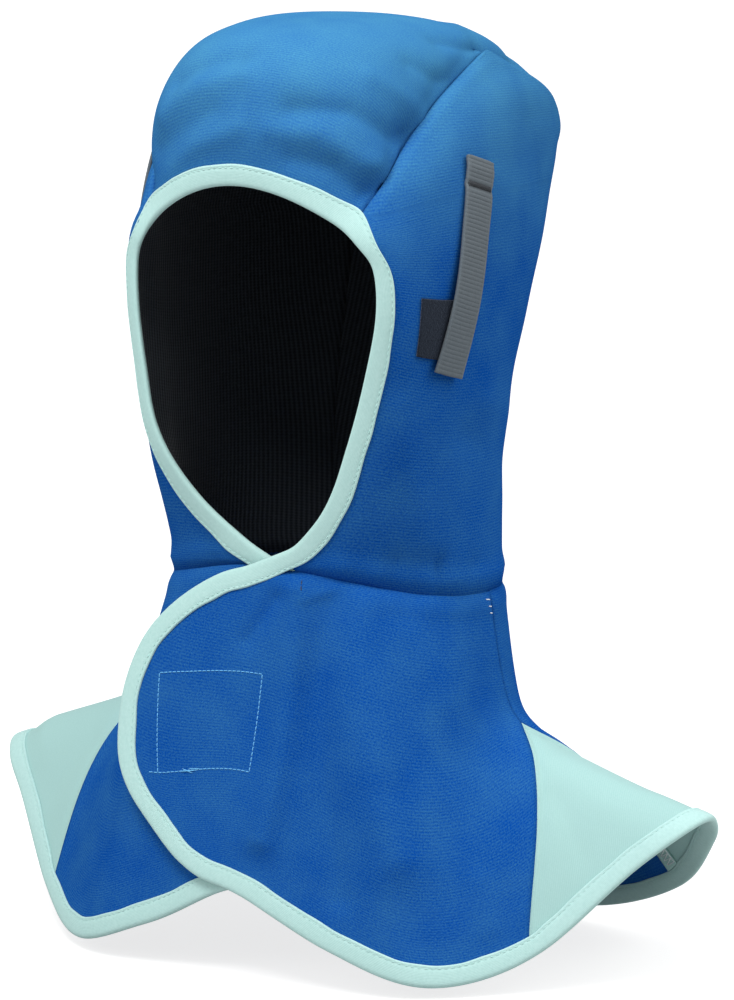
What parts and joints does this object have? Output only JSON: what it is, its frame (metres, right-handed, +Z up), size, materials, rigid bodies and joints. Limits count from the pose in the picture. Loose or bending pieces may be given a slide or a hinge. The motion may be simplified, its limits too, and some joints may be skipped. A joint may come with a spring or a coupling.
{
  "type": "welding head and neck cover",
  "caption": "Cloth welding hood with an open face and a shoulder cape that laps over at the front, bound edges, shoulder gussets and webbing straps on its sides.",
  "frame": {"origin": "inside top of the crown, where the cover rests on the top of a head", "axes": "+Z up along the head and neck, -Y out of the face opening, +X to the wearer's left"},
  "size_m": [0.3916, 0.2286, 0.4511],
  "materials": {
    "blue_cloth": "blue flame-resistant cotton, fine satin weave",
    "green_cloth": "pale green cotton, fine twill",
    "green_tape": "pale green folded cotton tape with a line of stitches",
    "black_knit": "near-black ribbed knit",
    "grey_webbing": "grey ribbed webbing",
    "black_loop": "dark hook-and-loop pile"
  },
  "bodies": {
    "root": {"crown_panel": "blue_cloth", "side_panel_left": "blue_cloth", "side_panel_right": "blue_cloth", "hood_lining": "black_knit", "cape_front_left": "blue_cloth", "cape_front_right": "blue_cloth", "cape_back": "blue_cloth", "shoulder_gusset_left": "green_cloth", "shoulder_gusset_right": "green_cloth", "edge_binding": "green_tape", "strap_left": "grey_webbing", "strap_right": "grey_webbing", "loop_patch_left": "black_loop", "loop_patch_right": "black_loop", "closure_patch": "black_loop"}
  },
  "joints": []
}
